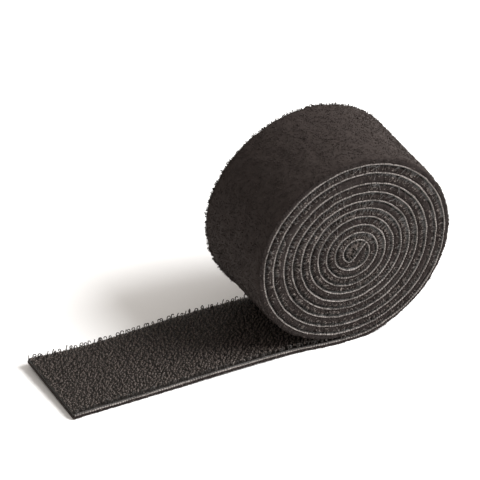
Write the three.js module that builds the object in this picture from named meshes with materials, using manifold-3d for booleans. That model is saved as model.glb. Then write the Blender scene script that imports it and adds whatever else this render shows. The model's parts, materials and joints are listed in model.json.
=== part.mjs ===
// Hook and loop tape roll: a coreless roll of double-sided fastening tape with a free tail.
// Millimetres, +Z up. The tail runs towards -X along the floor and the roll's axis lies along Y.
// The tape has three layers: hooks on its upper (inner) face, a woven backing, and loop pile below.
// It bends everywhere, so it is cut into short stretches that are hinged to each other.

import * as THREE from 'three';
import { mergeVertices } from 'three/addons/utils/BufferGeometryUtils.js';
import Module from 'manifold-3d';

const wasm = await Module();
wasm.setup();

// The tape's width and layers
const TAPE_WIDTH = 25;
const PILE_THICKNESS = 0.8;
const BACKING_THICKNESS = 0.35;
const HOOK_BAND_THICKNESS = 0.6;

// The roll: radii to the middle of the backing, and the room between one turn and the next
const ROLL_RADIUS = 24.6;
const INNER_RADIUS = 2;
const TURN_CLEARANCE = 0.45;

// The free tail, measured from the point below the roll's middle
const TAIL_LENGTH = 74;
const ROOT_LENGTH = 10;

// How the tape is divided: the outermost turn and the tail bend in stretches, with room between them
const TAIL_STRETCHES = 4;
const STRETCHES_PER_TURN = 12;
const STEPS_PER_STRETCH = 2;
const STRETCH_CLEARANCE = 0.3;

// The single hooks on the tail: stiff threads that lean over along the tape
const HOOK_GROUND_THICKNESS = 0.2;
const HOOK_HEIGHT = 1;
const HOOK_REACH = 0.65;
const HOOK_THREAD_RADIUS = 0.2;
const HOOK_ROW_PITCH = 1.55;
const HOOK_COLUMN_PITCH = 2;
const HOOK_SIDE_MARGIN = 0.9;
const HOOK_END_MARGIN = 0.8;
const HOOK_SIDES = 3;

const pitch = PILE_THICKNESS + BACKING_THICKNESS + HOOK_BAND_THICKNESS + TURN_CLEARANCE;
const stepsPerTurn = STRETCHES_PER_TURN * STEPS_PER_STRETCH;
const stepAngle = (2 * Math.PI) / stepsPerTurn;

// A corner of the many-sided roll needs a little more offset than its flats do
const cornerStretch = 1 / Math.cos(stepAngle / 2);

// Heights across the tape from the middle of the backing, with the hook side positive
const backingTop = BACKING_THICKNESS / 2;
const backingBottom = -BACKING_THICKNESS / 2;
const pileBottom = backingBottom - PILE_THICKNESS;
const hookBandTop = backingTop + HOOK_BAND_THICKNESS;
const hookGroundTop = backingTop + HOOK_GROUND_THICKNESS;

const tailHeight = -pileBottom;
const rollHeight = tailHeight + ROLL_RADIUS / cornerStretch;

const hookMaterial = new THREE.MeshStandardMaterial({ color: 0x37322d, roughness: 0.75, metalness: 0 });
const backingMaterial = new THREE.MeshStandardMaterial({ color: 0x8c847e, roughness: 0.8, metalness: 0 });
const pileMaterial = new THREE.MeshStandardMaterial({ color: 0x2d2a26, roughness: 0.95, metalness: 0 });

// A station is a place along the tape: a point on the backing's middle and the direction of the hooks.
function flatStation(x) {
  return { point: new THREE.Vector2(x, tailHeight), across: new THREE.Vector2(0, 1) };
}

// Stations on the roll are its corners, counted from where the flat tail ends.
function rollStation(corner) {
  const angle = stepAngle * (corner + 0.5);
  const radius = ROLL_RADIUS - (pitch * corner) / stepsPerTurn;
  const outward = new THREE.Vector2(Math.sin(angle), -Math.cos(angle));
  const point = new THREE.Vector2(0, rollHeight).addScaledVector(outward, radius);
  return { point, across: outward.multiplyScalar(-cornerStretch) };
}

function rollStations(firstCorner, lastCorner) {
  return Array.from({ length: lastCorner - firstCorner + 1 }, (_, i) => rollStation(firstCorner + i));
}

function layerPoint(station, height) {
  return station.point.clone().addScaledVector(station.across, height);
}

// Draws in one end of a stretch by half of the clearance between two stretches.
function drawnIn(end, neighbour) {
  const inward = neighbour.point.clone().sub(end.point).setLength(STRETCH_CLEARANCE / 2);
  return { point: end.point.clone().add(inward), across: end.across };
}

function withStartClear(stations) {
  return [drawnIn(stations[0], stations[1]), ...stations.slice(1)];
}

function withEndClear(stations) {
  return [...stations.slice(0, -1), drawnIn(stations.at(-1), stations.at(-2))];
}

function meshGeometry(positions, indices) {
  const geometry = new THREE.BufferGeometry();
  geometry.setAttribute('position', new THREE.Float32BufferAttribute(positions, 3));
  geometry.setIndex(indices);
  return geometry;
}

// One layer of a stretch: a four-sided strip through all its stations, closed at both ends.
function stripGeometry(stations, bottom, top) {
  const positions = [];
  const indices = [];
  const halfWidth = TAPE_WIDTH / 2;
  const addQuad = (a, b, c, d) => indices.push(a, b, c, a, c, d);
  for (const station of stations) {
    const low = layerPoint(station, bottom);
    const high = layerPoint(station, top);
    positions.push(low.x, -halfWidth, low.y);
    positions.push(low.x, halfWidth, low.y);
    positions.push(high.x, halfWidth, high.y);
    positions.push(high.x, -halfWidth, high.y);
  }
  const end = 4 * (stations.length - 1);
  for (let ring = 0; ring < end; ring += 4) {
    for (let side = 0; side < 4; side += 1) {
      const next = (side + 1) % 4;
      addQuad(ring + side, ring + next, ring + 4 + next, ring + 4 + side);
    }
  }
  addQuad(3, 2, 1, 0);
  addQuad(end, end + 1, end + 2, end + 3);
  return meshGeometry(positions, indices);
}

// One hook: a three-sided thread, rooted inside its ground, whose tip leans over along the tape.
function hookGeometry(x, y, facing) {
  const rootHeight = tailHeight + (backingTop + hookGroundTop) / 2;
  const positions = [];
  const indices = [];
  for (let corner = 0; corner < HOOK_SIDES; corner += 1) {
    const angle = (2 * Math.PI * corner) / HOOK_SIDES;
    const cornerX = x + HOOK_THREAD_RADIUS * Math.cos(angle);
    positions.push(cornerX, y + HOOK_THREAD_RADIUS * Math.sin(angle), rootHeight);
    indices.push(corner, (corner + 1) % HOOK_SIDES, HOOK_SIDES);
  }
  positions.push(x + facing * HOOK_REACH, y, tailHeight + hookGroundTop + HOOK_HEIGHT);
  indices.push(2, 1, 0);
  return meshGeometry(positions, indices);
}

function toSolid(geometry) {
  const merged = mergeVertices(geometry);
  return new wasm.Manifold(
    new wasm.Mesh({
      numProp: 3,
      vertProperties: new Float32Array(merged.attributes.position.array),
      triVerts: new Uint32Array(merged.index.array),
    }),
  );
}

function toGeometry(solid) {
  const mesh = solid.getMesh();
  return meshGeometry([...mesh.vertProperties], [...mesh.triVerts]);
}

// Places in a row at a steady pitch, as many as fit in a length, set evenly about its middle.
function placesAlong(length, spacing) {
  const count = Math.floor(length / spacing) + 1;
  return Array.from({ length: count }, (_, i) => spacing * (i - (count - 1) / 2));
}

// The hook face of one tail stretch: staggered rows of hooks, fused to a thin slice of their ground.
function hookField(stations) {
  const [far, near] = stations.map((station) => station.point.x);
  const rowRoom = near - far - 2 * (HOOK_END_MARGIN + HOOK_REACH);
  const columnRoom = TAPE_WIDTH - 2 * HOOK_SIDE_MARGIN - HOOK_COLUMN_PITCH / 2;
  let field = toSolid(stripGeometry(stations, backingTop, hookGroundTop));
  placesAlong(rowRoom, HOOK_ROW_PITCH).forEach((rowX, row) => {
    const stagger = (row % 2 === 0 ? -1 : 1) * (HOOK_COLUMN_PITCH / 4);
    placesAlong(columnRoom, HOOK_COLUMN_PITCH).forEach((columnY, column) => {
      const facing = column % 2 === 0 ? 1 : -1;
      const hook = hookGeometry((far + near) / 2 + rowX, columnY + stagger, facing);
      field = field.add(toSolid(hook));
    });
  });
  return toGeometry(field);
}

// On the roll the hooks are pressed into the next turn's pile, so their face is a plain band there.
function hookBand(stations) {
  return stripGeometry(stations, backingTop, hookBandTop);
}

function addLayer(group, name, geometry, material) {
  geometry.computeVertexNormals();
  const mesh = new THREE.Mesh(geometry, material);
  mesh.name = name;
  group.add(mesh);
}

// The three layers of one stretch of tape, named after it
function addStretch(group, name, stations, hookFace) {
  addLayer(group, `${name}_hooks`, hookFace(stations), hookMaterial);
  addLayer(group, `${name}_backing`, stripGeometry(stations, backingBottom, backingTop), backingMaterial);
  addLayer(group, `${name}_loop_pile`, stripGeometry(stations, pileBottom, backingBottom), pileMaterial);
}

// Least distance from the outer side of each turn of a winding to the inner side of the turn over it
function leastTurnGap(stations) {
  const gaps = stations.slice(stepsPerTurn).map((station, i) => {
    const outerSide = layerPoint(station, pileBottom);
    const innerSide = layerPoint(stations[i], hookBandTop);
    return outerSide.distanceTo(innerSide) / cornerStretch;
  });
  return Math.min(...gaps);
}

const tapeRoll = new THREE.Group();

// The root lies flat under the roll, between the free tail and the outermost turn
const rootStations = [flatStation(-ROOT_LENGTH), rollStation(0)];
addStretch(tapeRoll, 'tail_root', withStartClear(withEndClear(rootStations)), hookBand);

// The free tail, in flat stretches that carry the single hooks; the last one ends at the tip
const tailStretchLength = (TAIL_LENGTH - ROOT_LENGTH) / TAIL_STRETCHES;
for (let stretch = 1; stretch <= TAIL_STRETCHES; stretch += 1) {
  const near = -ROOT_LENGTH - tailStretchLength * (stretch - 1);
  const stations = withEndClear([flatStation(near - tailStretchLength), flatStation(near)]);
  const isTip = stretch === TAIL_STRETCHES;
  addStretch(tapeRoll, `tail_stretch_${stretch}`, isTip ? stations : withStartClear(stations), hookField);
}

// The outermost turn, in curved stretches that open out as the roll pays out its tape
const turnStretches = STRETCHES_PER_TURN - 1;
for (let stretch = 1; stretch <= turnStretches; stretch += 1) {
  const firstCorner = (stretch - 1) * STEPS_PER_STRETCH;
  const stations = rollStations(firstCorner, firstCorner + STEPS_PER_STRETCH);
  addStretch(tapeRoll, `turn_stretch_${stretch}`, withStartClear(withEndClear(stations)), hookBand);
}

// The rest of the roll is one unbroken winding, from the last hinge to the tape's inner end
const coilStart = turnStretches * STEPS_PER_STRETCH;
const coilEnd = Math.floor(((ROLL_RADIUS - INNER_RADIUS) / pitch) * stepsPerTurn);
const coilStations = withStartClear(rollStations(coilStart, coilEnd));
addStretch(tapeRoll, 'coil', coilStations, hookBand);
console.log(`least gap between the turns of the coil: ${leastTurnGap(coilStations).toFixed(3)} mm`);

// The origin is on the floor, under the middle of the part's length
const outermostTurn = rollStations(0, stepsPerTurn).map((station) => layerPoint(station, pileBottom).x);
tapeRoll.position.x = (TAIL_LENGTH - Math.max(...outermostTurn)) / 2;

export default tapeRoll;
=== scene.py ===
"""A roll of double-sided hook and loop tape with a free tail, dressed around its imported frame.

Every surface is worked out in tape coordinates: u along the tape from the point under the roll's axis
(negative on the tail), y across it, and h off the middle of the backing, with the hook side positive.
"""

import json
import math
from typing import NamedTuple

import bpy
import numpy as np
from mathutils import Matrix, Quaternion, Vector


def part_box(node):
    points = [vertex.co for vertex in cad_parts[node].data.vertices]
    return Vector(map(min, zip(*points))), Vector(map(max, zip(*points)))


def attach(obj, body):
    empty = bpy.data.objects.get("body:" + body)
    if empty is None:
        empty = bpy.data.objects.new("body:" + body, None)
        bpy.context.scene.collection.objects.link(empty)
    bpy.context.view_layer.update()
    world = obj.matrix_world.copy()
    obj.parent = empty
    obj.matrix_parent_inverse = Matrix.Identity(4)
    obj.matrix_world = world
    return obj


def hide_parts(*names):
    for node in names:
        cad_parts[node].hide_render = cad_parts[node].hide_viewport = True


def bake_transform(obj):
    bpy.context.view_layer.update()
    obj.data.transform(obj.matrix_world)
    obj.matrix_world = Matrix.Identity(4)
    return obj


bl_info = {
    "name": "Hook and Loop Tape Roll",
    "version": (1, 0, 0),
    "blender": (4, 5, 0),
    "location": "View3D > Sidebar > Tape Roll",
    "description": "Dresses the packed frame of a tape roll with its backing, hooks and loop pile",
    "category": "Add Mesh",
}

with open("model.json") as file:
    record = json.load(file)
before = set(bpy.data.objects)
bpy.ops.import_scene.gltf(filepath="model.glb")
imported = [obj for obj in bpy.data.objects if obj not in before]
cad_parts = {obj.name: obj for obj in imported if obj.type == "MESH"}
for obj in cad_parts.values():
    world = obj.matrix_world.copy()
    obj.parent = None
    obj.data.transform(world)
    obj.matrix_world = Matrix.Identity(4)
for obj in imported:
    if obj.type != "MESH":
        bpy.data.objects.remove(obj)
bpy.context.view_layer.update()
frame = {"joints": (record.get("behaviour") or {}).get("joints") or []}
JOINTS = {joint["name"]: joint for joint in frame["joints"]}

BAKE_MAP = "OFBake"
MM = 0.001

# How the frame divides the tape: its roll has flats of this angle, and a hinge at every second corner
FLAT_ANGLE = math.radians(15)
HINGE_ANGLE = 2 * FLAT_ANGLE
TURN_HINGES = sum(name.startswith("unwind") for name in JOINTS)
TAIL_HINGES = sum(name.startswith("tail_bend") for name in JOINTS)

# The layers by the names of their pieces, with the frame's names for them
LAYERS = {"hooks": "hooks", "backing": "backing", "pile": "loop_pile"}

# Seeds of the random draws, one for each kind of piece
SEED_LINE, SEED_BACKING, SEED_HOOKS, SEED_PILE = 3, 11, 23, 37

FULL_TURN = 2 * np.pi
LATTICE = 256


def length(name, description, default):
    """A length in metres that the sidebar shows in the scene's units."""
    return bpy.props.FloatProperty(
        name=name, description=description, default=default, min=0, precision=5, unit="LENGTH"
    )


def colour(name, description, default):
    """A linear colour, opaque."""
    return bpy.props.FloatVectorProperty(
        name=name, description=description, default=(*default, 1), size=4, min=0, max=1, subtype="COLOR"
    )


class TapeSizes(bpy.types.PropertyGroup):
    width: length("Width", "Across the tape", 25 * MM)
    tail: length("Tail", "From its tip to below the roll's axis", 75 * MM)
    backing: length("Backing", "Thickness of the woven backing", 0.36 * MM)
    ground: length("Hook Ground", "Thickness below the hooks", 0.16 * MM)
    pile: length("Pile", "Depth below the backing", 1.35 * MM)
    turn_radius: length("Turn Radius", "Mean radius where the winding starts", 25.41 * MM)
    turn_pitch: length("Turn Pitch", "Mean radial room of one turn", 2.23 * MM)
    tightness: length("Tightness", "How much closer in the middle turns lie", 0.24 * MM)
    slack: length("Slack", "Extra room inside the second turn", 0.55 * MM)
    bulge: length("Bulge", "How far each turn stands out to one side", 0.8 * MM)
    flats: length("Flats", "How far each turn is pressed in on two sides", 0.43 * MM)
    hub_chord: length("Hub Chord", "From the axis to the straight inner end", 0.9 * MM)
    hub_angle: bpy.props.FloatProperty(
        name="Hub Angle", description="Through which the tape is wound up to its inner end",
        default=math.radians(3729), subtype="ANGLE"
    )
    offset: length("Offset", "How far the roll stands nearer than the tail", 1.2 * MM)
    flare: length("Flare", "How much deeper the pile is at its far edge", 0.62 * MM)
    spread: length("Spread", "How much wider the outermost turn lies", 1.55 * MM)
    hook_height: length("Hook Height", "From the ground to the top of a hook", 1.08 * MM)
    hook_thread: length("Hook Thread", "Radius of a hook's thread", 0.095 * MM)
    hook_row: length("Hook Rows", "Between rows of hooks along the tape", 1.25 * MM)
    hook_column: length("Hook Columns", "Between columns of hooks across the tape", 0.56 * MM)
    loop_height: length("Loop Height", "How far brushed loops stand out of the pile", 0.22 * MM)
    loop_thread: length("Loop Thread", "Radius of a loop's thread", 0.05 * MM)
    loop_spacing: length("Loop Spacing", "Between loops on the outermost turn", 0.46 * MM)


class TapeColours(bpy.types.PropertyGroup):
    backing_pale: colour("Backing Pale", "Raised threads of the backing", (0.257, 0.231, 0.217))
    backing_dark: colour("Backing Dark", "Between the threads of the backing", (0.06, 0.051, 0.046))
    ground: colour("Hook Ground", "Weave below the hooks", (0.008, 0.0063, 0.0053))
    hook_dark: colour("Hook Dark", "Darkest hooks", (0.014, 0.011, 0.009))
    hook_pale: colour("Hook Pale", "Palest hooks", (0.245, 0.202, 0.18))
    pile_dark: colour("Pile Dark", "Hollows of the pile", (0.0124, 0.0086, 0.0078))
    pile_pale: colour("Pile Pale", "Tips of the loops", (0.0335, 0.025, 0.0222))
    # A painted highlight: the colour of edge loops that stand for fibres catching the light
    lint: colour("Lint", "Palest loops along the edges", (0.165, 0.134, 0.117))
    floor: colour("Floor", "The plain floor", (0.92, 0.92, 0.92))


# The tape's line and the places on it

# The line is worked out by distance on the tail up to FLAT_END, and by angle after it
LINE_STEP = 0.25 * MM
ANGLE_STEP = math.radians(0.25)
FLAT_END = -4 * MM

# The winding: its start, its bulge, which drifts from turn to turn, its flats, its slack and its waves
LIFT_ANGLE = math.radians(25)
BULGE_WAY = math.radians(-135)
BULGE_DRIFT = math.radians(-4.2)
FLATS_WAY = math.radians(7)
SLACK_TURNS = (1.6, 2.8)
WAVE_HEIGHT, WAVE_CELL = 0.05 * MM, 2.1 * MM

# The straight inner end: its angle from the place nearest to the axis to its tip, and how the turns make room
CHORD_LEAD = math.radians(79)
CHORD_ROOM, CHORD_EASE, LEAST_COSINE = 6 * MM, 0.9, 0.001

# The tail's lifted tip and its arch, each with its height at the near edge and what the far edge has more
TIP_START, TIP_RUN = -54 * MM, 21 * MM
TIP_LIFT, TIP_TWIST = 0.05 * MM, 1.05 * MM
ARCH_START, ARCH_RUN = -57 * MM, 51 * MM
ARCH_LIFT, ARCH_TWIST = 0.33 * MM, 0.3 * MM
TAIL_WAVE, TAIL_WAVE_CELL = 0.1 * MM, 11 * MM
TAIL_FREE = (-20 * MM, -6 * MM)

# Across the tape: the tail's share of the offset, where the roll's takes over, and the spread and the drift
TAIL_SHARE, OFFSET_RUN = 0.27, (-17 * MM, -3 * MM)
SPREAD_GROWS, SPREAD_FADES = (0, 1.5), (6.3, 14)
DRIFT, DRIFT_CELL, DRIFT_RUN = 0.1 * MM, 19 * MM, 30 * MM


def eased(value, low, high):
    """A smooth step from 0 at low to 1 at high, by the cubic 3t^2 - 2t^3."""
    t = np.clip((value - low) / (high - low), 0, 1)
    return t * t * (3 - 2 * t)


def between(value, rising, falling):
    """1 between two ranges and 0 outside them, eased over each."""
    return eased(value, *rising) * (1 - eased(value, *falling))


def rough(a, b, cell, seed):
    """Random heights from -1 to 1 on a square lattice, eased between its points."""
    table = np.random.default_rng(seed).uniform(-1, 1, (LATTICE, LATTICE))
    a, b = np.broadcast_arrays(np.asarray(a) / cell, np.asarray(b) / cell)
    i, j = np.floor(a).astype(int), np.floor(b).astype(int)
    s, t = eased(a - i, 0, 1), eased(b - j, 0, 1)
    i, j = i % LATTICE, j % LATTICE
    k, m = (i + 1) % LATTICE, (j + 1) % LATTICE
    near = table[i, j] * (1 - s) + table[k, j] * s
    far = table[i, m] * (1 - s) + table[k, m] * s
    return near * (1 - t) + far * t


class TapeLine:
    """The middle of the backing: a tail that lies nearly flat, then a winding that is not quite round.

    Before the point under the axis the tape is flat: its radius there is a height over the angle's cosine.
    """

    def __init__(self, sizes):
        self.sizes = sizes
        self.axis_x, self.axis_z = roll_axis()
        self.floor_gap = sum(point.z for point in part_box(f"tail_stretch_{TAIL_HINGES}_backing")) / 2
        level = self.axis_z - self.floor_gap
        flat = np.arange(-sizes.tail, FLAT_END, LINE_STEP)
        angle = np.arange(math.atan(FLAT_END / level), sizes.hub_angle, ANGLE_STEP)
        self.radius = np.where(angle < 0, level / np.cos(np.minimum(angle, 0)), self.spiral(angle))
        x = np.concatenate([self.axis_x + flat, self.axis_x + self.radius * np.sin(angle)])
        z = np.concatenate([np.full(flat.size, self.floor_gap), self.axis_z - self.radius * np.cos(angle)])
        self.x, self.z = x, z
        self.u = np.concatenate([[0], np.cumsum(np.hypot(np.diff(x), np.diff(z)))]) - sizes.tail
        self.angle = np.concatenate([flat / level, angle])
        slope_x, slope_z = np.gradient(x, self.u), np.gradient(z, self.u)
        size = np.hypot(slope_x, slope_z)
        self.slope_x, self.slope_z = slope_x / size, slope_z / size

    def spiral(self, angle):
        """The winding's radius at each angle from straight down.

        It falls by the pitch in each turn, by the slack inside the second turn, and in the middle turns by
        4 * tightness * s(1 - s) more, where s runs from 0 at the start to 1 at the hub. The bulge and the
        flats are cosines that fade to the hub. The inner end is a chord, at c / cos(angle) from the axis. The
        radii a of the turns and b of the chord join as (a^-4 + b^-4)^(-1/4).
        """
        sizes = self.sizes
        turns, share = angle / FULL_TURN, angle / sizes.hub_angle
        bulge = sizes.bulge * np.cos(angle - BULGE_WAY + BULGE_DRIFT * turns)
        flats = sizes.flats * np.cos(2 * (angle - FLATS_WAY))
        even = sizes.turn_radius - sizes.turn_pitch * turns - 4 * sizes.tightness * share * (1 - share)
        radius = even + (bulge - flats) * (1 - share) - sizes.slack * eased(turns, *SLACK_TURNS)
        way = sizes.hub_angle - CHORD_LEAD
        radius = radius + CHORD_ROOM * eased(angle, way - CHORD_EASE, way + CHORD_EASE)
        across = np.cos(np.clip(angle - way, -np.pi / 2, np.pi / 2))
        chord = sizes.hub_chord / np.maximum(across, LEAST_COSINE)
        radius = (radius**-4 + chord**-4) ** -0.25
        run = sizes.turn_radius * angle - sizes.turn_pitch / (2 * FULL_TURN) * angle**2
        wave = WAVE_HEIGHT * rough(run, 0, WAVE_CELL, SEED_LINE)
        level = self.axis_z - self.floor_gap
        start = eased(angle, 0, LIFT_ANGLE)
        return level + (radius + wave - level) * start

    def along(self, angle):
        """The place u on the roll at an angle from straight down."""
        return np.interp(angle, self.angle, self.u)

    def turned(self, u):
        """The angle from straight down at the place u."""
        return np.interp(u, self.u, self.angle)

    def place(self, u, y, h):
        """Points in the row frame: the line's point at u, moved by h along its hook side and by y across.

        The tail arches by a squared sine, and its tip lifts by a square. The roll stands a little nearer than
        the tail, its turns drift out of line, and the outer ones spread to the far side.
        """
        u, y, h = np.broadcast_arrays(u, y, h)
        sizes = self.sizes
        side = y / sizes.width + 0.5
        angle = self.turned(u)
        slope_x, slope_z = np.interp(u, self.u, self.slope_x), np.interp(u, self.u, self.slope_z)
        x = np.interp(u, self.u, self.x) - h * slope_z
        z = np.interp(u, self.u, self.z) + h * slope_x
        tip = np.clip((TIP_START - u) / TIP_RUN, 0, None) ** 2
        arch = np.sin(np.pi * np.clip((u - ARCH_START) / ARCH_RUN, 0, 1)) ** 2
        free = 1 - eased(u, *TAIL_FREE)
        wave = 0.5 + 0.5 * rough(u, y * 0.4, TAIL_WAVE_CELL, SEED_LINE + 1)
        z = z + tip * (TIP_LIFT + TIP_TWIST * side) + arch * (ARCH_LIFT + ARCH_TWIST * side)
        z = z + free * wave * TAIL_WAVE
        shift = sizes.offset * (TAIL_SHARE - eased(u, *OFFSET_RUN))
        outer = eased(angle, *SPREAD_GROWS) * (1 - 0.5 * eased(angle, *SPREAD_FADES))
        drift = DRIFT * rough(u, 0 * u, DRIFT_CELL, SEED_LINE + 2) * eased(u, 0, DRIFT_RUN)
        return np.stack([x, y + shift + sizes.spread * side * outer + drift, z], -1)


def roll_axis():
    """Where the roll's axis is in x and z, from two hinges a quarter turn apart about it."""
    first, fourth = joint_place("unwind"), joint_place("unwind_4")
    ray = np.array([math.sin(FLAT_ANGLE / 2), 0, -math.cos(FLAT_ANGLE / 2)])
    return (first - ray * (first - fourth).dot(ray))[[0, 2]]


def joint_place(name):
    """Where the frame has a hinge, in metres."""
    return np.array(JOINTS[name]["pos_m"])


class Stretch(NamedTuple):
    """One cut of the tape: where it starts and ends, and the hinge that it lies over, if any.

    way is the tape's direction at the hinge, which nothing uses, and bodies those whose nodes its pieces
    stand for.
    """

    name: str
    start: float
    end: float
    bodies: tuple
    hinge: str = None
    way: tuple = None

    @property
    def wound(self):
        """Whether this is the coil, which doesn't bend."""
        return self.hinge is None

    def carry(self, piece):
        """The piece rides on the coil, or else keeps its place with its transform baked into its mesh."""
        if self.wound:
            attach(piece, self.bodies[0])
            return
        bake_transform(piece)


def cut_stretches(line):
    """Cuts the tape in the middle between its hinges, so that each hinge lies in one piece."""
    stretches = []
    places = [joint_place(f"tail_bend_{i + 1}")[0] - line.axis_x for i in range(TAIL_HINGES)]
    middles = [(a + b) / 2 for a, b in zip(places, places[1:])]
    cuts = [line.along(-FLAT_ANGLE / 2), *middles, -line.sizes.tail]
    for i in range(TAIL_HINGES):
        name, bodies = f"tail_bend_{i + 1}", (f"tail_stretch_{i + 1}",)
        stretches.append(Stretch(f"tail_{i + 1}", cuts[i + 1], cuts[i], bodies, name, (-1, 0, 0)))
    for i in range(TURN_HINGES):
        angle = FLAT_ANGLE / 2 + HINGE_ANGLE * i
        start, end = line.along(angle - HINGE_ANGLE / 2), line.along(angle + HINGE_ANGLE / 2)
        name = "unwind" if i == 0 else f"unwind_{i + 1}"
        bodies = ("tail_root",) if i == 0 else (f"turn_stretch_{i}",)
        way = (math.cos(angle), 0, math.sin(angle))
        stretches.append(Stretch(f"turn_{i + 1}", start, end, bodies, name, way))
    stretches.append(Stretch("coil", stretches[-1].end, line.u[-1], ("coil",)))
    return stretches


# Meshes

# Margins in the bake map, about a strand's cell and about a sheet's row
CELL_MARGIN, SHEET_MARGIN = 0.08, 0.01

# A ring this close to each end of a sheet keeps its shading even across a cut
HAIRLINE = 0.01 * MM
SHEET_SHADE, SHEET_RISE = np.full(1, 0.5), np.zeros(1)

# Kinds of hook, with how far each curls over in radians and its arc's radius as a share of its height.
# HOOK_RISE is the share of the height by which each ring is shaded: painted light at the top, painted shade
# at the foot.
RING, STUB, STICK = range(3)
HOOK_RISE = np.array([0, 0.7, 0.8, 0.87, 0.93, 0.97, 1])
HOOK_CURL = np.array([5.3, 0.5, 3.4])
HOOK_BOW = np.array([0.19, 0.26, 0.17])
ARC_RINGS, STUB_LEAN = 5, 0.18

# Loops are arcs of four rings, whose feet reach a little into the pile. All threads are three-sided.
LOOP_ARC = np.linspace(-0.1, 1.1, 4) * np.pi
LOOP_RISE = np.clip(np.sin(LOOP_ARC), 0, 1)
THREAD_SIDES = 3


class Parts:
    """Collects surfaces carried along paths, and makes one mesh of them with attributes and a bake map.

    A surface is an array of points (copies, rings, around, 3) in tape coordinates. Each ring is joined to
    the next, and one face closes each end. Around runs from y to h, so that faces point outwards.
    """

    def __init__(self, line):
        self.line = line
        self.points, self.tape, self.thread = [], [], []
        self.corners, self.sizes, self.ends, self.maps = [], [], [], []
        self.count = 0

    def add(self, points, shade=SHEET_SHADE, rise=SHEET_RISE):
        """Adds copies of a carried profile. shade is a random number of each copy, rise its height share."""
        copies, rings, around, _ = points.shape
        index = self.count + np.arange(copies * rings * around).reshape(copies, rings, around)
        self.count += index.size
        after = np.roll(index, -1, axis=2)
        quads = np.stack([index[:, :-1], after[:, :-1], after[:, 1:], index[:, 1:]], -1)
        self.corners += [quads.reshape(-1), index[:, 0, ::-1].reshape(-1), index[:, -1].reshape(-1)]
        self.sizes += [np.full(quads.size // 4, 4), np.full(2 * copies, around)]
        self.ends += [np.zeros(quads.size // 4, bool), np.ones(2 * copies, bool)]
        along, wide = np.arange(rings) / (rings - 1), np.arange(around + 1) / around
        spot = np.stack(np.broadcast_arrays(along[:, None], wide[None]), -1)
        patch = np.stack([spot[:-1, :-1], spot[:-1, 1:], spot[1:, 1:], spot[1:, :-1]], -2)
        shapes = [patch.reshape(-1, 2), spot[0, around - 1 :: -1], spot[-1, :around]]
        self.points.append(self.line.place(*np.moveaxis(points, -1, 0)).reshape(-1, 3))
        self.tape.append(points.reshape(-1, 3))
        strand = copies > 1
        self.maps.append((copies if strand else 0, shapes))
        thread = np.empty(points.shape)
        thread[..., 0] = shade[:, None, None]
        thread[..., 1] = rise[:, None]
        thread[..., 2] = strand
        self.thread.append(thread.reshape(-1, 3))

    def bake_map(self):
        """Sheets lie in rows in the lower half of the map, and strands in cells in the upper half."""
        strands = [copies for copies, _ in self.maps]
        total, sheets = max(1, sum(strands)), max(1, strands.count(0))
        columns = math.ceil(math.sqrt(2 * total))
        cell = np.array([1 / columns, 0.5 / math.ceil(total / columns)])
        row, sheet, first, places = np.array([1, 0.5 / sheets]), 0, 0, []
        for copies, shapes in self.maps:
            each = first + np.arange(copies)
            corner = np.stack([each % columns, each // columns], -1) * cell + (0, 0.5)
            size, margin = cell, CELL_MARGIN
            if copies == 0:
                corner, size, margin = np.array([[0, sheet * row[1]]]), row, SHEET_MARGIN
                sheet += 1
            first += copies
            for shape in shapes:
                place = corner[:, None] + (margin + (1 - 2 * margin) * shape) * size
                places.append(place.reshape(-1, 2))
        return np.concatenate(places)

    def piece(self, name, material):
        """The finished object, at the origin."""
        mesh = bpy.data.meshes.new(name)
        corners, sizes = np.concatenate(self.corners), np.concatenate(self.sizes)
        mesh.vertices.add(self.count)
        mesh.vertices.foreach_set("co", np.concatenate(self.points).astype(np.float32).ravel())
        mesh.loops.add(len(corners))
        mesh.loops.foreach_set("vertex_index", corners.astype(np.int32))
        mesh.polygons.add(len(sizes))
        mesh.polygons.foreach_set("loop_start", (np.cumsum(sizes) - sizes).astype(np.int32))
        mesh.update(calc_edges=True)
        mesh.shade_smooth()
        sharp = mesh.attributes.new("sharp_face", "BOOLEAN", "FACE")
        sharp.data.foreach_set("value", np.concatenate(self.ends))
        for key, value in (("tape", self.tape), ("thread", self.thread)):
            attribute = mesh.attributes.new(key, "FLOAT_VECTOR", "POINT")
            attribute.data.foreach_set("vector", np.concatenate(value).astype(np.float32).ravel())
        layer = mesh.uv_layers.new(name=BAKE_MAP)
        layer.uv.foreach_set("vector", self.bake_map().astype(np.float32).ravel())
        mesh.materials.append(material)
        return linked(name, mesh)


def linked(name, data):
    """A new object in the scene."""
    made = bpy.data.objects.new(name, data)
    bpy.context.scene.collection.objects.link(made)
    return made


def spaced(start, end, step):
    """Places from start to end, both included, about a step apart."""
    return np.linspace(start, end, max(2, round((end - start) / step) + 1))


def strip(u, y, h):
    """One closed strip: sections (places, around) of y and h at the places u."""
    return np.stack(np.broadcast_arrays(u[:, None], y, h), -1)[None]


def cut_rings(stretch, step):
    """Places along a stretch, about a step apart, and one more a hairline from each end."""
    u = spaced(stretch.start, stretch.end, step)
    return np.concatenate([u[:1], u[:1] + HAIRLINE, u[1:-1], u[-1:] - HAIRLINE, u[-1:]])


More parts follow.
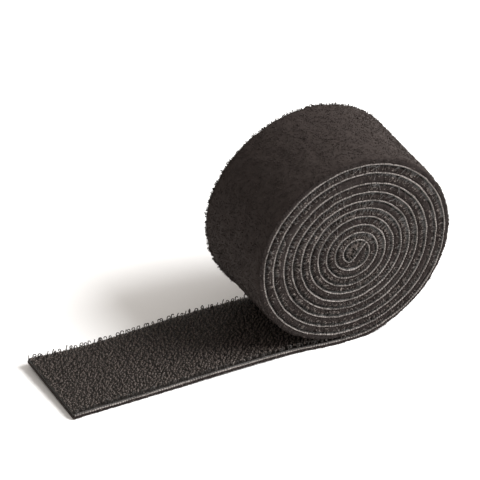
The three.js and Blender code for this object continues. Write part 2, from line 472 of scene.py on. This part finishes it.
def layer_strip(u, half, inner, outer, across, bulge):
    """A layer of the tape: its outer face follows the places across, and its sides bulge between the faces.

    half, bulge: half width and sideways swell at each place; inner: height of the face on the backing;
    outer: heights of the outer face at each place and each share of the half width in across.
    """
    u, half, bulge = np.broadcast_arrays(u, half, bulge)
    flat = np.broadcast_to(inner, (len(u), 1))
    edge, swell = half[:, None], (half + bulge)[:, None]
    y = np.concatenate([across * edge, swell, edge, -edge, -swell], 1)
    middle_right, middle_left = (outer[:, -1:] + flat) / 2, (outer[:, :1] + flat) / 2
    h = np.concatenate([outer, middle_right, flat, flat, middle_left], 1)
    if outer.mean() > inner:
        y, h = y[:, ::-1], h[:, ::-1]
    return strip(u, y, h)


def threads(path, side, radius):
    """Threads: rings about each point of the paths (copies, rings, 3), square to their direction.

    side is a direction square to each path's plane. A ring is radius * (cos * side + sin * (way x side)).
    """
    way = np.gradient(path, axis=1)
    way /= np.linalg.norm(way, axis=-1, keepdims=True)
    side = np.broadcast_to(side[:, None], way.shape)
    side = side - way * (side * way).sum(-1, keepdims=True)
    side = side / np.linalg.norm(side, axis=-1, keepdims=True)
    other = np.cross(way, side)
    turn = FULL_TURN * np.arange(THREAD_SIDES)[:, None] / THREAD_SIDES
    ring = np.cos(turn) * side[:, :, None] + np.sin(turn) * other[:, :, None]
    return path[:, :, None] + np.reshape(radius, (-1, 1, 1, 1)) * ring


def in_plane(base, ahead, up, forward, rise):
    """Paths in the plane of two directions: base + forward * ahead + rise * up, by copies and rings."""
    return base[:, None] + forward[..., None] * ahead[:, None] + rise[..., None] * up[:, None]


def hook_threads(sizes, rng, u, y, kind, height, bold, slant=0.12):
    """Hooks: a stem that leans, then an arc with points r(1 - cos a) ahead of it and r sin a above it.

    A ring curls shut, a stub is cut and leans towards the roll, and a stick turns over like a walking stick.
    """
    count = len(u)
    curl = HOOK_CURL[kind] + rng.uniform(-0.35, 0.35, count)
    bow = HOOK_BOW[kind] * height * bold * rng.uniform(0.85, 1.15, count)
    stem = height * rng.uniform(0.88, 1.12, count) - bow * np.sin(np.minimum(curl, np.pi / 2))
    lean = rng.normal(0, slant, count) + STUB_LEAN * (kind == STUB)
    turn = np.where((rng.random(count) < 0.5) & (kind != STUB), np.pi, 0) + rng.normal(0, 0.3, count)
    ahead = np.stack([np.cos(turn), np.sin(turn), 0 * turn], -1)
    up = np.tile([0.0, 0.0, 1.0], (count, 1))
    foot, top, bow = np.zeros((count, 1)), stem[:, None], bow[:, None]
    sweep = curl[:, None] * np.arange(1, ARC_RINGS + 1) / ARC_RINGS
    rise = np.concatenate([foot, top, top + bow * np.sin(sweep)], 1)
    forward = np.concatenate([foot, foot, bow * (1 - np.cos(sweep))], 1) + lean[:, None] * rise
    base = np.stack([u, y, np.full(count, sizes.backing / 2)], -1)
    radius = sizes.hook_thread * bold * rng.uniform(0.85, 1.1, count)
    return threads(in_plane(base, ahead, up, forward, rise), np.cross(up, ahead), radius)


def loop_threads(sizes, rng, base, ahead, up, span, height):
    """Brushed loops: half ellipses that stand on the pile with both feet in it, and lean to one side."""
    count = len(base)
    forward = -0.5 * span[:, None] * np.cos(LOOP_ARC)
    rise = height[:, None] * np.sin(LOOP_ARC)
    side = np.cross(ahead, up)
    path = in_plane(base, ahead, up, forward, rise)
    lean = rng.normal(0, 0.5, count)
    path = path + (lean[:, None] * np.maximum(rise, 0))[..., None] * side[:, None]
    radius = sizes.loop_thread * rng.uniform(0.7, 1.3, count)
    return threads(path, side, radius)


# Materials

# Spacing of the beads of the backing's weft, and of the hook ground's twill
BEAD, TWILL = 0.66 * MM, 0.72 * MM

# Where the pile's rim starts, and the width over which painted shade of pits darkens its felt
RIM_START, RIM_SHADE_FADE = 12 * MM, 0.25 * MM


def summed(operation):
    """A method of a wire that adds a Math node."""
    return lambda wire, *others: wire.maths(operation, wire, *others)


class Wire:
    """A socket in sums: each operator adds a Math node, and node() adds any other."""

    __add__, __sub__, __mul__ = summed("ADD"), summed("SUBTRACT"), summed("MULTIPLY")
    sine, unsigned = summed("SINE"), summed("ABSOLUTE")

    def __init__(self, tree, socket=None):
        self.tree = tree
        self.socket = socket

    def feed(self, socket, value):
        if isinstance(value, Wire):
            self.tree.links.new(value.socket, socket)
        else:
            socket.default_value = value

    def node(self, kind, settings=(), inputs=(), output=0):
        """A new node with its settings, and the values or links of its sockets."""
        node = self.tree.nodes.new(kind)
        for key, value in dict(settings).items():
            setattr(node, key, value)
        for key, value in dict(inputs).items():
            self.feed(node.inputs[key], value)
        return Wire(self.tree, node.outputs[output])

    def maths(self, operation, *values):
        return self.node("ShaderNodeMath", {"operation": operation}, dict(enumerate(values)))

    def __rsub__(self, other):
        return self.maths("SUBTRACT", other, self)

    def clamped(self):
        return self.maths("MINIMUM", self.maths("MAXIMUM", self, 0), 1)

    def mixed(self, low, high):
        """A colour between two others, by this value."""
        return self.node("ShaderNodeMix", {"data_type": "RGBA"}, {0: self, 6: low, 7: high}, 2)

    def split(self):
        """The three numbers of a vector."""
        made = self.node("ShaderNodeSeparateXYZ", (), {0: self})
        return [Wire(self.tree, output) for output in made.socket.node.outputs]

    def noise(self, scale, detail):
        """Cloudy noise on a vector, from 0 to 1."""
        return self.node("ShaderNodeTexNoise", (), {"Vector": self, "Scale": scale, "Detail": detail})


class Finish:
    """A material with one principled shader, and wires for the tape's coordinates and threads."""

    def __init__(self, name):
        self.material = bpy.data.materials.new(name)
        self.material.use_nodes = True
        self.tree = self.material.node_tree
        self.shader = self.tree.nodes["Principled BSDF"]
        self.start = Wire(self.tree)
        self.tape = self.attribute("tape")
        self.along, self.across, _ = self.tape.split()
        self.shade, self.rise, self.strand = self.attribute("thread").split()

    def attribute(self, name):
        return self.start.node("ShaderNodeAttribute", {"attribute_name": name}, (), 1)

    def set(self, **values):
        """Sockets of the shader by name, with underscores for spaces."""
        for key, value in values.items():
            self.start.feed(self.shader.inputs[key.replace("_", " ")], value)

    def bump(self, height, distance, strength):
        inputs = {"Height": height, "Distance": distance, "Strength": strength}
        self.set(Normal=self.start.node("ShaderNodeBump", (), inputs))


def backing_finish(colours):
    """Pale woven tape: beads of the weft along the edges, with dust-like speckles."""
    finish = Finish("backing_weave")
    weft = (finish.along * (FULL_TURN / BEAD)).sine()
    speckle = finish.tape.noise(1 / (0.4 * MM), 3)
    patch = finish.tape.noise(1 / (7 * MM), 1)
    pale = (weft * 0.3 + speckle * 2.8 + patch * 1.2 - 1.5).clamped()
    finish.set(Base_Color=pale.mixed(colours.backing_dark, colours.backing_pale))
    finish.set(Roughness=0.75, Specular_IOR_Level=0.3, Sheen_Weight=0.1)
    finish.bump(weft * 0.5 + speckle, 0.05 * MM, 0.6)
    return finish.material


def hook_finish(colours):
    """Stiff nylon threads, each of its own shade, with painted light at the top, over a dark twill ground."""
    finish = Finish("hook_nylon")
    twill = ((finish.along + finish.across) * (FULL_TURN / TWILL)).sine()
    cloud = finish.tape.noise(1 / (4 * MM), 2)
    # Painted light and shade: by its rise each hook is paler towards its top and darker at its foot
    pale = (finish.shade * 0.3 + finish.rise * 1.2 + cloud * 0.12 - 0.72).clamped()
    thread = pale.mixed(colours.hook_dark, colours.hook_pale)
    ground = (twill * 0.5 + 0.5).mixed(colours.hook_dark, colours.ground)
    finish.set(Base_Color=finish.strand.mixed(ground, thread))
    finish.set(Roughness=0.42, Specular_IOR_Level=0.5)
    finish.bump(twill * (1 - finish.strand), 0.04 * MM, 0.5)
    return finish.material


def pile_finish(colours):
    """Brushed loops: painted shade in the hollows and painted light at the tips, in soft patches, with a dry
    sheen.
    """
    finish = Finish("loop_pile")
    patch = finish.tape.noise(1 / (3.2 * MM), 3)
    grain = finish.tape.noise(1 / (0.3 * MM), 2)
    pit = finish.tape.noise(1 / (0.7 * MM), 1)
    # Painted light: by its rise each loop is paler towards its top and darker at its feet
    pale = (finish.shade * 0.3 + finish.rise * 0.15 + patch * 0.5).clamped()
    # Painted shade: along the rims the felt is darkened in pits, as if shaded between the edge loops
    rim = ((finish.across.unsigned() - RIM_START) * (1 / RIM_SHADE_FADE)).clamped()
    base = (grain * 0.9 + patch * 0.5 - 0.27 - rim * pit * 1.1).clamped()
    loops = pale.mixed(colours.pile_dark, colours.pile_pale)
    # Painted highlight: loops whose shade passes 1 take the pale colour of fibres catching the light
    loops = (finish.shade - 1).clamped().mixed(loops, colours.lint)
    felt = base.mixed(colours.pile_dark, colours.pile_pale)
    finish.set(Base_Color=finish.strand.mixed(felt, loops))
    finish.set(Roughness=0.9, Specular_IOR_Level=0.2)
    finish.set(Sheen_Weight=0.06, Sheen_Roughness=0.4, Sheen_Tint=(0.85, 0.74, 0.68, 1))
    finish.bump(grain * (1 - finish.strand), 0.12 * MM, 0.6)
    return finish.material


# Pieces

# How far the hooks' ground and the pile reach into the backing
OVERLAP = 0.02 * MM

# The backing: its gap to the tail's tip, its steps, and its section by powers of cosines and sines
TIP_INSET, BACKING_STEP = 0.35 * MM, 0.18 * MM
SECTION_SIDES, SECTION_POWERS = 12, np.array([[0.035], [0.5]])

# Hooks. From the first hub angle on they stand all over the coil, and they grow taller up to the second.
HOOK_MARGIN, CUT_ROOM, HOOK_SCATTER = 0.5 * MM, 0.05 * MM, 0.035 * MM
HUB_ANGLES = (9.2 * FULL_TURN, 9.6 * FULL_TURN)
EDGE_HOOK_SPACING = 0.27 * MM

# The outer columns of hooks: the share of places filled, the shares of the kinds, and looks
OUTER_FILLED, OUTER_KINDS = 0.97, (0.45, 0.25, 0.3)
OUTER_SHADE, OUTER_BOLD = -1.8, 1.55

# The pile's sheet: its steps, its places across, and those of a rim as shares of the half width
PILE_STEP, PILE_PLACES = 0.32 * MM, 71
RIM_SHARES = 1 - np.array([0, 0.006, 0.015, 0.028, 0.045, 0.065, 0.09])

# Angles from straight down over which the pile comes free of the floor, and between which it is worn thin,
# falls off steeply to its edges, and flares
OFF_FLOOR = (math.radians(2), math.radians(14))
WORN = ((0.3, 0.6), (1, 1.5))
STEEP = ((0.1, 0.5), (1.05, 1.4))
FLARED = ((1.8, 2.9), (5.5, 6.25))

# The pile's depth: its share on the floor, the share worn off, and its room and limits in the coil
FLOOR_SHARE, WORN_SHARE = 0.6, 0.27
HOOK_ROOM, COIL_DEPTHS = 0.5 * MM, (0.9 * MM, 2.6 * MM)
NEAR_SHOULDER, FAR_SHOULDER = 1.5 * MM, 0.7 * MM

# Loops: how much wider apart they are on the tail and the coil's face, and those along the edges
TAIL_LOOPS, COIL_LOOPS = 2.1, 2.4
EDGE_LOOP_SPACING, EDGE_BAND, EDGE_GLINT_SHARE = 0.42 * MM, 1.2 * MM, 0.14

# Hairs: their share of the face's loops, how they stand along the rims, and their size beside loops
HAIR_SHARE = 1 / 6
HAIR_SPACING, HAIR_SCATTER = 0.07 * MM, 0.35 * MM
HAIR_HEIGHT, HAIR_SPAN = 2.3, 0.35


def finished(parts, stretch, layer, material, share=""):
    """Makes a piece, carried by the coil or left in place. One without a share in its name replaces nodes."""
    piece = parts.piece(f"{layer}_{stretch.name}{share}", material)
    stretch.carry(piece)
    slot = LAYERS[layer]
    if not share:
        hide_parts(*[f"{body}_{slot}" for body in stretch.bodies])


class TAPE_OT_backing(bpy.types.Operator):
    """Weave the pale backing of the tail, the outermost turn and the coil"""

    bl_idname = "tape_roll.backing"
    bl_label = "Backing"

    def execute(self, context):
        sizes = context.scene.tape_sizes
        line = TapeLine(sizes)
        material = backing_finish(context.scene.tape_colours)
        turn = FULL_TURN * (np.arange(SECTION_SIDES) + 0.5) / SECTION_SIDES
        corner = np.stack([np.cos(turn), np.sin(turn)])
        corner = np.sign(corner) * np.abs(corner) ** SECTION_POWERS
        for stretch in cut_stretches(line):
            start = max(stretch.start, TIP_INSET - sizes.tail)
            u = spaced(start, stretch.end, BACKING_STEP)[:, None]
            bead = np.cos(u * (FULL_TURN / BEAD) + 2.5 * rough(u, 0, 3 * MM, SEED_BACKING))
            half = sizes.width / 2 + 0.05 * MM * bead + 0.05 * MM * rough(u, 0, 1.4 * MM, SEED_BACKING + 1)
            y = corner[0] * half
            swell = rough(u, y, 2.6 * MM, SEED_BACKING + 2)
            wander = 0.06 * MM * rough(u, y, 1.9 * MM, SEED_BACKING + 3)
            thick = sizes.backing / 2 * (1 + 0.18 * bead + 0.3 * swell)
            parts = Parts(line)
            parts.add(strip(u[:, 0], y, corner[1] * thick + wander))
            finished(parts, stretch, "backing", material)
        return {"FINISHED"}


class TAPE_OT_hooks(bpy.types.Operator):
    """Set hooks on their ground, all over the tail and the outermost turn and along the coil's edges"""

    bl_idname = "tape_roll.hooks"
    bl_label = "Hooks"

    def execute(self, context):
        sizes = context.scene.tape_sizes
        line = TapeLine(sizes)
        material = hook_finish(context.scene.tape_colours)
        for number, stretch in enumerate(cut_stretches(line)):
            rng = np.random.default_rng([SEED_HOOKS, number])
            parts = Parts(line)
            parts.add(self.ground(sizes, stretch))
            u, y, kind, outer = self.places(sizes, line, rng, stretch)
            hub = eased(line.turned(u), *HUB_ANGLES)
            share = np.where(outer, rng.uniform(0.95, 1.4, len(u)), 0.88)
            height = sizes.hook_height * share * (1 + 0.8 * hub)
            dark = outer & (not stretch.wound)
            shade = np.where(dark, OUTER_SHADE, 1) * rng.random(len(u)) ** np.where(outer, 0.3, 1.3)
            hooks = hook_threads(sizes, rng, u, y, kind, height, np.where(outer, OUTER_BOLD, 1))
            parts.add(hooks, shade, HOOK_RISE)
            finished(parts, stretch, "hooks", material)
            if stretch.end > 0:
                parts = Parts(line)
                parts.add(*self.edge_hooks(sizes, rng, stretch), HOOK_RISE)
                finished(parts, stretch, "hooks", material, "_edges")
        return {"FINISHED"}

    def ground(self, sizes, stretch):
        """A thin woven layer whose top rises and falls by a random field, coarser inside the coil."""
        u = cut_rings(stretch, 0.6 * MM if stretch.wound else 0.4 * MM)
        across = np.linspace(-1, 1, 9 if stretch.wound else 61)
        half = sizes.width / 2 - 0.2 * MM + 0.05 * MM * rough(u, 0, 0.8 * MM, SEED_HOOKS + 1)
        field = rough(u[:, None], across * sizes.width / 2, 0.7 * MM, SEED_HOOKS + 2)
        top = sizes.backing / 2 + sizes.ground * (1 + 0.3 * field)
        return layer_strip(u, half, sizes.backing / 2 - OVERLAP, top, across, bulge=0.02 * MM)

    def places(self, sizes, line, rng, stretch):
        """Half rows and staggered columns: a row of stubs, then a row of sticks and rings in turn.

        The outer column on each side has about half as many, of any kind. The rows are wider apart on the
        covered outermost turn. Inside the coil are no rings, and only outer columns up to the hub.
        """
        wound = stretch.wound
        step = sizes.hook_row / 2 * (1 if stretch.end < 0 or wound else 2)
        row = np.arange(math.ceil(stretch.start / step) - 1, math.ceil(stretch.end / step))
        columns = int((sizes.width - HOOK_MARGIN) / sizes.hook_column) + 1
        row, column = (grid.ravel() for grid in np.meshgrid(row, np.arange(columns), indexing="ij"))
        outer = (column == 0) | (column == columns - 1)
        hub = line.turned(row * step) > HUB_ANGLES[0]
        kept = outer | hub if wound else ~outer | (row % 2 == 1) & (rng.random(row.size) < OUTER_FILLED)
        u = (row + column % 2) * step
        kept = kept & (u >= stretch.start) & (u < stretch.end)
        row, column, outer, u = row[kept], column[kept], outer[kept], u[kept]
        u = u + rng.normal(0, HOOK_SCATTER, row.size)
        u = np.clip(u, stretch.start + CUT_ROOM, stretch.end - CUT_ROOM)
        y = (column - (columns - 1) / 2) * sizes.hook_column + rng.normal(0, HOOK_SCATTER, row.size)
        curled = ((row // 2 + column // 2) % 2 == 1) & (not wound)
        kind = np.where(row % 2 == 0, STUB, np.where(curled, RING, STICK))
        mixed = rng.choice(len(OUTER_KINDS), row.size, p=OUTER_KINDS)
        return u, y, np.where(outer & (not wound), mixed, kind), outer

    def edge_hooks(self, sizes, rng, stretch):
        """Pale hooks along both edges, in front of the next turn's pile, more in some places."""
        count = int(2 * (stretch.end - stretch.start) / EDGE_HOOK_SPACING)
        u = rng.uniform(stretch.start + CUT_ROOM, stretch.end - CUT_ROOM, count)
        side = np.where(rng.random(count) < 0.5, -1, 1)
        kept = rough(u, 9 * MM * side, 5 * MM, SEED_HOOKS + 3) > rng.uniform(-1, 0.6, count)
        u, side = u[kept], side[kept]
        y = side * (sizes.width / 2 - 0.02 * MM + rng.normal(0, 0.06 * MM, u.size))
        kind = np.where(rng.random(u.size) < 0.7, STUB, STICK)
        height = sizes.hook_height * rng.uniform(0.8, 1.5, u.size)
        hooks = hook_threads(sizes, rng, u, y, kind, height, bold=0.8, slant=0.5)
        return hooks, rng.uniform(-0.3, 0.9, u.size)


class TAPE_OT_pile(bpy.types.Operator):
    """Felt the loop pile under the tail, round the outermost turn and between the turns of the coil"""

    bl_idname = "tape_roll.pile"
    bl_label = "Loop Pile"

    def execute(self, context):
        sizes = context.scene.tape_sizes
        line = TapeLine(sizes)
        material = pile_finish(context.scene.tape_colours)
        for number, stretch in enumerate(cut_stretches(line)):
            rng = np.random.default_rng([SEED_PILE, number])
            parts = Parts(line)
            parts.add(self.felt(sizes, line, stretch))
            if not stretch.wound:
                spacing = sizes.loop_spacing * (TAIL_LOOPS if stretch.end < 0 else 1)
                self.add_face_loops(parts, sizes, rng, stretch.start, stretch.end, spacing)
                self.add_edge_loops(parts, sizes, rng, stretch.start, stretch.end, EDGE_LOOP_SPACING)
            finished(parts, stretch, "pile", material)
            if stretch.wound:
                self.add_coil_loops(sizes, line, rng, stretch, material)
        return {"FINISHED"}

    def depth(self, sizes, line, u):
        """How deep the pile is: thin on the floor and low on the right, and fuller where it is free.

        Inside the roll it is as deep as the room up to the next turn's hooks.
        """
        angle = line.turned(u)
        free = eased(angle, *OFF_FLOOR)
        wound = eased(angle, FULL_TURN - 0.2, FULL_TURN + 0.2)
        room = line.spiral(angle - FULL_TURN) - line.spiral(angle) - sizes.backing - HOOK_ROOM
        worn = WORN_SHARE * between(angle, *WORN)
        depth = sizes.pile * (FLOOR_SHARE + (1 - FLOOR_SHARE) * free) * (1 - worn)
        return depth * (1 - wound) + np.clip(room, *COIL_DEPTHS) * wound

    def inset(self, sizes, y):
        """From 0 at an edge to 1 where the pile's shoulder ends, which is broader on the near side."""
        shoulder = np.where(y < 0, NEAR_SHOULDER, FAR_SHOULDER)
        return np.clip((sizes.width / 2 - np.abs(y)) / shoulder, 0, 1)

    def surface(self, sizes, line, u, y):
        """How far the pile's face is from the backing's middle, no further than the floor.

        It has lumps of two sizes, and falls off to the edges by a quarter of an ellipse: less where it is
        pressed, and most under the roll's right. On the outermost turn it flares to the far side.
        """
        angle, inset = line.turned(u), self.inset(sizes, y)
        pressed = 1 - eased(angle, 0, 0.3) + eased(angle, FULL_TURN - 0.3, FULL_TURN + 0.3)
        low = 0.35 - 0.22 * between(angle, *STEEP) + 0.55 * pressed
        shoulder = low + (1 - low) * np.sqrt(1 - (1 - inset) ** 2)
        lumps = 0.07 * rough(u, y, 1.2 * MM, SEED_PILE + 1) + 0.06 * rough(u, y, 2.7 * MM, SEED_PILE + 2)
        flare = sizes.flare * (y / sizes.width + 0.5) ** 2 * between(angle, *FLARED)
        reach = sizes.backing / 2 + self.depth(sizes, line, u) * (shoulder + lumps) + flare
        return np.minimum(reach, self.room(line, u))

    def felt(self, sizes, line, stretch):
        """The felted ground of the pile, plain across its middle inside the coil."""
        middle = [] if stretch.wound else np.linspace(-RIM_SHARES[-1], RIM_SHARES[-1], PILE_PLACES)[1:-1]
        across = np.concatenate([-RIM_SHARES, middle, RIM_SHARES[::-1]])
        u = cut_rings(stretch, PILE_STEP)
        half = sizes.width / 2 - 0.16 * MM + 0.1 * MM * rough(u, 0, 0.7 * MM, SEED_PILE + 3)
        outer = -self.surface(sizes, line, u[:, None], across * half[:, None])
        return layer_strip(u, half, OVERLAP - sizes.backing / 2, outer, across, bulge=0.05 * MM)

    def add_face_loops(self, parts, sizes, rng, start, end, spacing):
        """Loops all over the pile's face and round its shoulders, turned any way, higher in clumps.

        Narrow ones stand up like hairs: about one in six, and all along both rims.
        """
        half = sizes.width / 2 - 0.12 * MM
        count = int((end - start) * 2 * half / spacing**2)
        rim = int((end - start) / HAIR_SPACING)
        rim_y = rng.choice([-1, 1], rim) * (half - np.abs(rng.normal(0, HAIR_SCATTER, rim)))
        y = np.concatenate([rng.uniform(-half, half, count), rim_y])
        hair = (np.arange(count + rim) >= count) | (rng.random(count + rim) < HAIR_SHARE)
        count += rim
        u = rng.uniform(start, end, count)
        line, inset = parts.line, self.inset(sizes, y)
        turn = rng.uniform(0, FULL_TURN, count)
        tilt = np.sign(y) * np.where(hair, 0.5, 1.1) * (1 - inset)
        ahead = np.stack([np.cos(turn), np.sin(turn) * np.cos(tilt), np.sin(turn) * np.sin(tilt)], -1)
        up = np.stack([0 * tilt, np.sin(tilt), -np.cos(tilt)], -1)
        free = eased(line.turned(u), *OFF_FLOOR)
        base = np.stack([u, y, 0.05 * MM - self.surface(sizes, line, u, y)], -1)
        clump = 1 + 0.4 * rough(u, y, 1.3 * MM, SEED_PILE + 4)
        height = sizes.loop_height * rng.uniform(0.5, 1.1, count) * clump * (0.35 + 0.65 * free)
        span = rng.uniform(0.2, 0.5, count) * MM * np.where(hair, HAIR_SPAN, 1)
        under = 1 - eased(line.turned(u), 1.05, 1.5)
        height = height * np.where(y < 0, 1 - (0.4 + 0.4 * under) * (1 - inset), 1.7 - 0.7 * inset)
        height = height * np.where(hair, HAIR_HEIGHT, 1)
        loops = loop_threads(sizes, rng, base, ahead, up, span, height)
        loops[..., 2] = np.maximum(loops[..., 2], -self.room(line, loops[..., 0]))
        parts.add(loops, rng.random(count), LOOP_RISE)

    def room(self, line, u):
        """How far below the backing's middle the pile may reach before it meets the floor."""
        angle = np.clip(line.turned(u), 0, 1.2)
        radius = np.interp(angle, line.angle[-len(line.radius):], line.radius)
        return np.maximum(line.axis_z / np.cos(angle) - radius, line.floor_gap) - 0.03 * MM

    def add_edge_loops(self, parts, sizes, rng, start, end, spacing, sides=(-1, 1)):
        """Loops that stand out sideways from the pile's edges; about one in seven is painted pale as a
        highlight.
        """
        line = parts.line
        for side in sides:
            count = int((end - start) * EDGE_BAND / spacing**2)
            u = rng.uniform(start, end, count)
            share = rng.uniform(-0.05, 1, count)
            turn = rng.uniform(0, np.pi, count)
            ahead = np.stack([np.cos(turn), 0 * turn, np.sin(turn)], -1)
            up = np.tile([0.0, float(side), 0.0], (count, 1))
            across = np.full(count, side * (sizes.width / 2 - 0.18 * MM))
            edge = self.surface(sizes, line, u, across)
            base = np.stack([u, across, -sizes.backing / 2 - (edge - sizes.backing / 2) * share], -1)
            height = rng.uniform(0.1, 0.32, count) * MM
            span = rng.uniform(0.2, 0.6, count) * MM
            loops = loop_threads(sizes, rng, base, ahead, up, span, height)
            loops[..., 2] = np.clip(loops[..., 2], -self.room(line, loops[..., 0]), sizes.backing)
            # About one in seven edge loops gets a shade above 1, the painted highlight
            shade = rng.random(count) ** 2 + (rng.random(count) < EDGE_GLINT_SHARE)
            parts.add(loops, shade, LOOP_RISE)

    def add_coil_loops(self, sizes, line, rng, stretch, material):
        """The coil's loops: on its outer face for one turn, and along both edges of every turn."""
        turn_end = line.along(line.turned(stretch.start) + FULL_TURN)
        parts = Parts(line)
        self.add_face_loops(parts, sizes, rng, stretch.start, turn_end, COIL_LOOPS * sizes.loop_spacing)
        finished(parts, stretch, "pile", material, "_face")
        for side, name, spacing in ((-1, "near", 0.34 * MM), (1, "far", 0.4 * MM)):
            parts = Parts(line)
            self.add_edge_loops(parts, sizes, rng, stretch.start, stretch.end, spacing, (side,))
            finished(parts, stretch, "pile", material, f"_{name}_edge")


# The stage

# The floor's half length, and how far it lies below the part
FLOOR_REACH, FLOOR_DROP = 3.0, 0.02 * MM

# The surround's light, and the place and power of each lamp
SURROUND_COLOUR, SURROUND_STRENGTH = (1, 0.94, 0.88, 1), 0.61
LAMPS = {"key": ((0.575, -0.4, 0.715), 15.2), "side": ((0.85, -0.3, 0.43), 6.4)}
LAMP_SIZE, LAMP_AIM = 0.5, (0, 0, 0.02)

# The photograph's view
CAMERA_PLACE = (-0.55852, -1.05826, 0.8311)
CAMERA_AIM = (0.00058, 0.0003, 0.02844)
CAMERA_TILT, CAMERA_LENS = math.radians(0.3), 450.75


class TAPE_OT_stage(bpy.types.Operator):
    """Lay the plain floor and set up the soft light and the camera"""

    bl_idname = "tape_roll.stage"
    bl_label = "Stage"

    def execute(self, context):
        scene = context.scene
        self.floor(scene)
        self.light(scene)
        self.camera(scene)
        scene.view_settings.view_transform = "Standard"
        return {"FINISHED"}

    def floor(self, scene):
        """A large flat square, a hair below the part."""
        mesh = bpy.data.meshes.new("floor")
        signs = ((-1, -1), (1, -1), (1, 1), (-1, 1))
        corners = [(x * FLOOR_REACH, y * FLOOR_REACH, -FLOOR_DROP) for x, y in signs]
        mesh.from_pydata(corners, [], [(0, 1, 2, 3)])
        finish = Finish("floor_paper")
        finish.set(Base_Color=scene.tape_colours.floor, Roughness=0.9, Specular_IOR_Level=0.1)
        mesh.materials.append(finish.material)
        floor = linked("floor", mesh)

    def light(self, scene):
        """A warm white surround, a broad lamp from the upper right and a weaker one lower on the right."""
        world = bpy.data.worlds.new("surround")
        world.use_nodes = True
        background = world.node_tree.nodes["Background"]
        background.inputs["Color"].default_value = SURROUND_COLOUR
        background.inputs["Strength"].default_value = SURROUND_STRENGTH
        scene.world = world
        for name, (place, energy) in LAMPS.items():
            data = bpy.data.lights.new(name, "AREA")
            data.shape = "DISK"
            data.size = LAMP_SIZE
            data.energy = energy
            lamp = linked(name, data)
            lamp.location = place
            lamp.rotation_euler = (Vector(LAMP_AIM) - lamp.location).to_track_quat("-Z", "Y").to_euler()

    def camera(self, scene):
        """A long lens that looks down past the tail's near edge."""
        data = bpy.data.cameras.new("view")
        data.lens = CAMERA_LENS
        camera = linked("view", data)
        camera.location = CAMERA_PLACE
        level = (Vector(CAMERA_AIM) - camera.location).to_track_quat("-Z", "Y")
        camera.rotation_euler = (level @ Quaternion((0, 0, 1), CAMERA_TILT)).to_euler()
        scene.camera = camera


class TAPE_PT_sidebar(bpy.types.Panel):
    """Sizes, colours and steps of the tape roll"""

    bl_label = "Tape Roll"
    bl_space_type = "VIEW_3D"
    bl_region_type = "UI"
    bl_category = "Tape Roll"

    def draw(self, context):
        for group in (context.scene.tape_sizes, context.scene.tape_colours):
            column = self.layout.column(align=True)
            for name in group.__annotations__:
                column.prop(group, name)
        for operator in OPERATORS:
            self.layout.operator(operator.bl_idname)


OPERATORS = (TAPE_OT_backing, TAPE_OT_hooks, TAPE_OT_pile, TAPE_OT_stage)
CLASSES = (TapeSizes, TapeColours, *OPERATORS, TAPE_PT_sidebar)


def register():
    for each in CLASSES:
        bpy.utils.register_class(each)
    bpy.types.Scene.tape_sizes = bpy.props.PointerProperty(type=TapeSizes)
    bpy.types.Scene.tape_colours = bpy.props.PointerProperty(type=TapeColours)


def unregister():
    del bpy.types.Scene.tape_colours
    del bpy.types.Scene.tape_sizes
    for each in reversed(CLASSES):
        bpy.utils.unregister_class(each)


def main():
    """Makes every piece and the stage."""
    register()
    bpy.ops.tape_roll.backing()
    bpy.ops.tape_roll.hooks()
    bpy.ops.tape_roll.pile()
    bpy.ops.tape_roll.stage()


if __name__ == "__main__":
    main()
